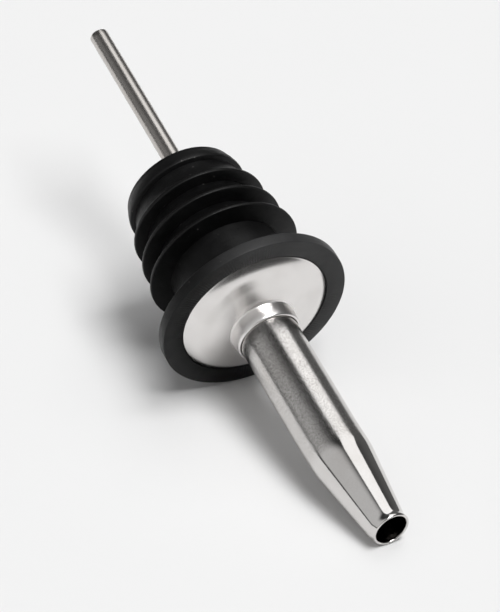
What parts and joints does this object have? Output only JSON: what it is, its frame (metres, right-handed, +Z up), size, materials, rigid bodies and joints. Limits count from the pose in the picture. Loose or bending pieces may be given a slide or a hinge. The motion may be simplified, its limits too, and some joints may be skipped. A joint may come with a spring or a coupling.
{
  "type": "liquor pour spout",
  "caption": "Free-flow pour spout: a leaning tapered steel tube and a thin breather tube in a finned, flanged black rubber stopper with a domed steel collar.",
  "frame": {"origin": "on the spout's axis, in the plane of the stopper flange's underside, where the flange rests on the bottle's lip", "axes": "+Z up the spout towards its mouth, -Y the way the mouth leans, -X the side that the breather tube lies on"},
  "size_m": [0.0306, 0.0306, 0.1109],
  "materials": {
    "spout_steel": "drawn stainless steel, satin body and polished taper",
    "collar_steel": "pressed stainless steel, faint concentric polishing",
    "vent_steel": "drawn stainless steel, satin",
    "rubber": "black moulded rubber, semi-matt",
    "braze": "silver braze"
  },
  "bodies": {
    "root": {"spout_tube": "spout_steel", "collar": "collar_steel", "stopper": "rubber", "vent_tube": "vent_steel", "collar_braze": "braze", "vent_braze_lower": "braze", "vent_braze_upper": "braze"}
  },
  "joints": []
}
